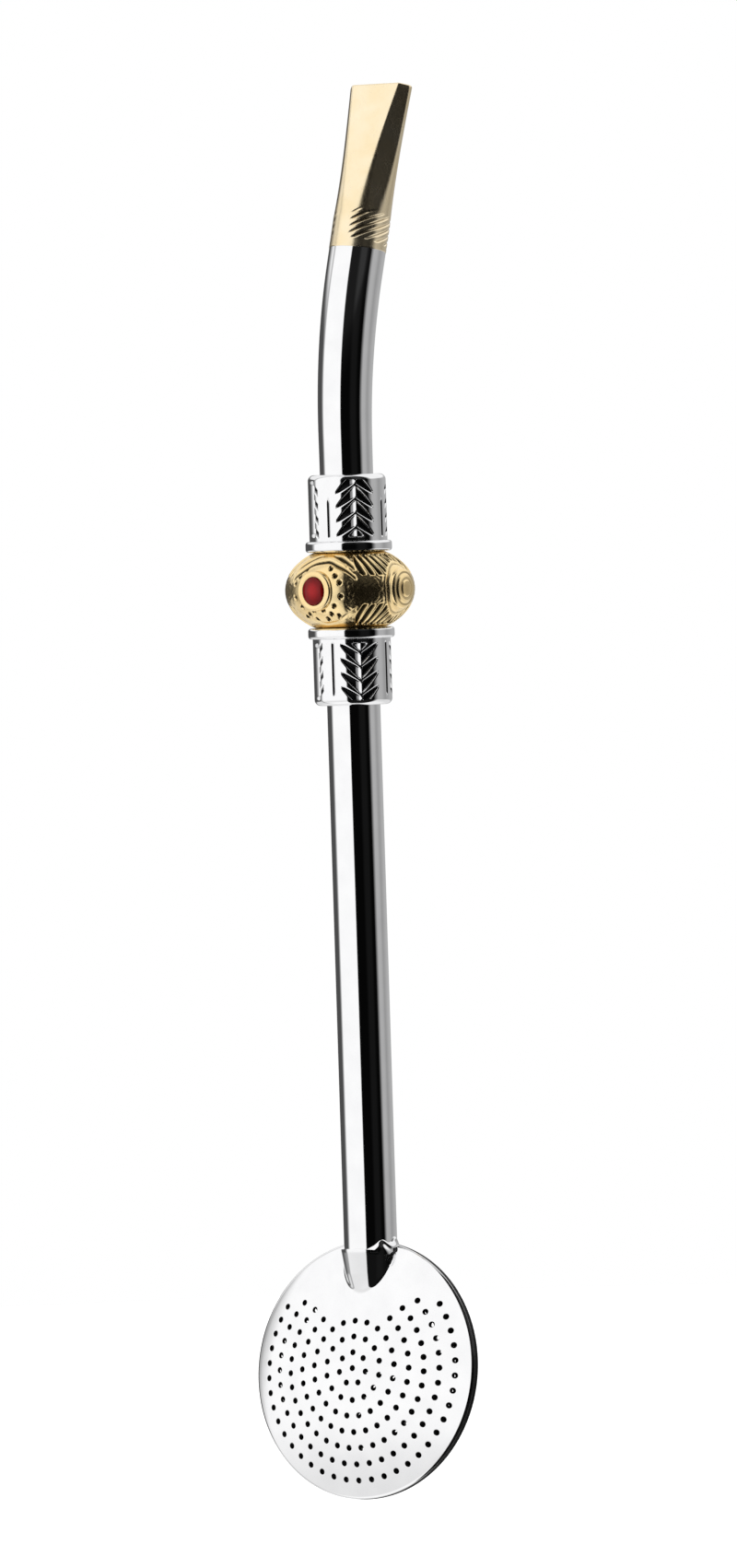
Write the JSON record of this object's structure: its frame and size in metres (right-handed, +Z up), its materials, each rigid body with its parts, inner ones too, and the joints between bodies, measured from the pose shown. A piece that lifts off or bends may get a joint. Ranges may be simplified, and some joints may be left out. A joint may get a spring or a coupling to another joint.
{
  "type": "bombilla drinking straw",
  "caption": "Metal mate straw: round perforated filter, bent tube stem, gilt bead with set stones between chased sleeves, flattened gilt mouthpiece.",
  "frame": {"origin": "on the line of the straight stem, level with the lowest point of the filter disc", "axes": "+Z up along the straight part of the stem; -Y is the front, where the filter's face and a stone show; the upper end of the stem bends towards +Y; X runs across the filter disc"},
  "size_m": [0.039, 0.0255, 0.2127],
  "materials": {
    "silver_tube": "drawn nickel silver tube, bright polished",
    "silver_plate": "pressed nickel silver sheet, bright polished, punched holes",
    "silver_chased": "chased nickel silver, bright on the raised leaves and dark in the cuts",
    "silver_turned": "turned nickel silver, bright polished",
    "gilt_mouthpiece": "pale gold over brass, satin polished",
    "gilt_bead": "pale gold over brass, chased, dark in the cuts",
    "red_stone": "polished deep red glass stone"
  },
  "bodies": {
    "root": {"stem_tube": "silver_tube", "mouthpiece": "gilt_mouthpiece", "upper_sleeve": "silver_chased", "lower_sleeve": "silver_chased", "upper_collar": "silver_turned", "lower_collar": "silver_turned", "bead_upper_shell": "gilt_bead", "bead_lower_shell": "gilt_bead", "front_bezel": "gilt_bead", "front_stone": "red_stone", "back_bezel": "gilt_bead", "back_stone": "red_stone", "right_boss": "gilt_bead", "left_boss": "gilt_bead", "filter_front_plate": "silver_plate", "filter_back_plate": "silver_plate"}
  },
  "joints": []
}
